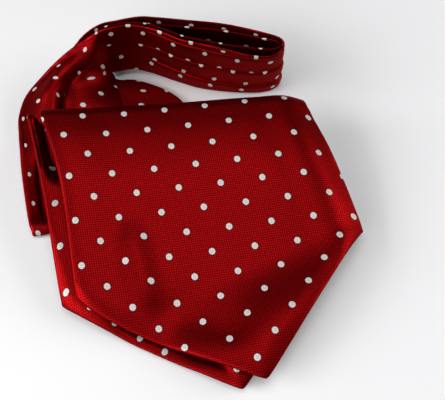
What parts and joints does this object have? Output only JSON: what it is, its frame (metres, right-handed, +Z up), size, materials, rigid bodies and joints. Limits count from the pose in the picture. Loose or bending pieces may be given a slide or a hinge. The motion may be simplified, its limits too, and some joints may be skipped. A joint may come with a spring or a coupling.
{
  "type": "silk cravat folded for display",
  "caption": "Self-tie silk cravat with pointed blades laid over each other, hidden layers folded beneath, and a pleated neckband looped behind, standing on its edge.",
  "frame": {"origin": "on the surface the cravat lies on, under the middle of the whole article's box", "axes": "+Y along the blades from their points toward their fold and the neckband, +X across the blades to the right, +Z up"},
  "size_m": [0.1584, 0.2048, 0.0412],
  "materials": {
    "face_silk": "deep red basket-weave silk with a satin sheen and small silver-white woven spots set half-drop",
    "shade_silk": "the same red silk on layers that the folds hide"
  },
  "bodies": {
    "root": {"blade_top": "face_silk", "blade_under": "face_silk", "hidden_layers": "shade_silk", "lower_margin": "face_silk", "spread_upper": "face_silk", "spread_under": "face_silk", "neckband_near_outer": "face_silk", "neckband_near_inner": "face_silk", "neckband_far_outer": "face_silk", "neckband_far_inner": "face_silk"}
  },
  "joints": []
}
